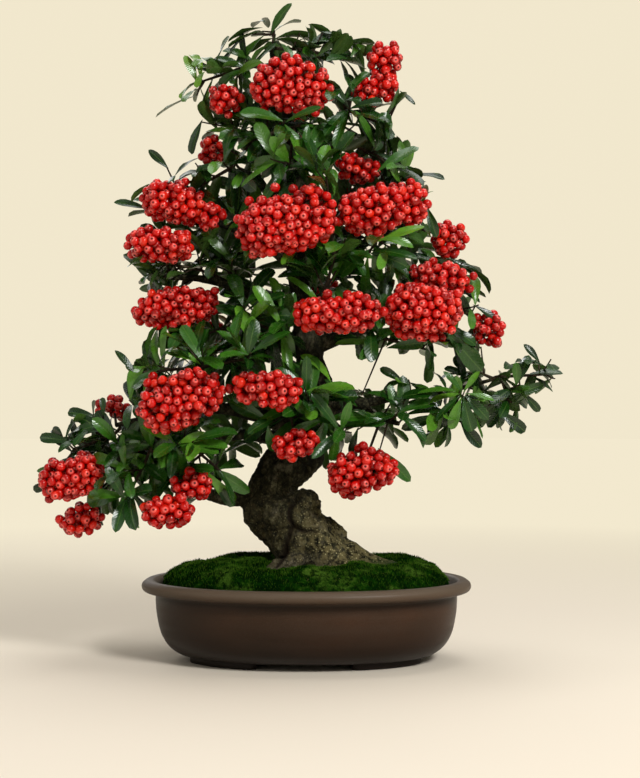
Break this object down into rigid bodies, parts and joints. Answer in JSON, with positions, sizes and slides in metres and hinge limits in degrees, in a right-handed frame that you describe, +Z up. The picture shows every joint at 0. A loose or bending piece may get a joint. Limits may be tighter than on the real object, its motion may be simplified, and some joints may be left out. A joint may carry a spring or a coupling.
{
  "type": "potted bonsai tree",
  "caption": "Bonsai firethorn with a tapering trunk, leafy sprays and clustered red berries, planted in moss in a low oval unglazed pot on feet.",
  "frame": {"origin": "middle of the pot's outline on the surface that its feet stand on", "axes": "+Z up the tree, +X to the viewer's right along the pot's length, -Y out of the tree's front face, so +Y is its depth"},
  "size_m": [0.332, 0.1551, 0.4194],
  "materials": {
    "clay": "unglazed dark brown stoneware, matt, paler where the lip is worn",
    "screen": "black plastic drain mesh, matt",
    "earth": "packed granular bonsai soil, matt",
    "moss": "soft living moss, matt",
    "bark": "rough dark grey-brown living bark, matt",
    "leaf": "dark green leaves with a waxy half gloss",
    "berry": "ripe orange-red berries, glossy"
  },
  "bodies": {
    "root": {"pot": "clay", "drain_screen": "screen", "soil": "earth", "moss": "moss", "wood": "bark", "bunch_top": "berry", "bunch_top_left": "berry", "bunch_top_right": "berry", "bunch_left_small": "berry", "bunch_upper_left": "berry", "bunch_left_hanging": "berry", "bunch_centre": "berry", "bunch_high_right": "berry", "bunch_upper_right": "berry", "bunch_right_edge": "berry", "bunch_right_upper": "berry", "bunch_mid_front": "berry", "bunch_mid_right": "berry", "bunch_far_right": "berry", "bunch_mid_left": "berry", "bunch_low_left": "berry", "bunch_low_front": "berry", "bunch_far_left": "berry", "bunch_far_left_low": "berry", "bunch_left_behind": "berry", "bunch_left_under": "berry", "bunch_trunk_front": "berry", "bunch_right_low": "berry", "bunch_back_high": "berry", "bunch_back_right": "berry", "bunch_back_left": "berry", "bunch_back_mid": "berry", "bunch_back_mid_right": "berry", "bunch_back_mid_left": "berry", "bunch_back_low": "berry", "bunch_back_low_left": "berry", "spray_apex": "leaf", "spray_top_left": "leaf", "spray_top_right": "leaf", "spray_high_front": "leaf", "spray_high_right": "leaf", "spray_upper_left": "leaf", "spray_upper_front": "leaf", "spray_mid_left": "leaf", "spray_mid_right": "leaf", "spray_mid_low_right": "leaf", "spray_mid_low_left": "leaf", "spray_low_left_top": "leaf", "spray_low_front": "leaf", "spray_far_left": "leaf", "spray_low_left": "leaf", "spray_right_near": "leaf", "spray_right_tip": "leaf", "spray_back_top": "leaf", "spray_back_upper": "leaf", "spray_back_upper_left": "leaf", "spray_back_mid": "leaf", "spray_back_low": "leaf", "spray_back_bottom": "leaf"}
  },
  "joints": []
}
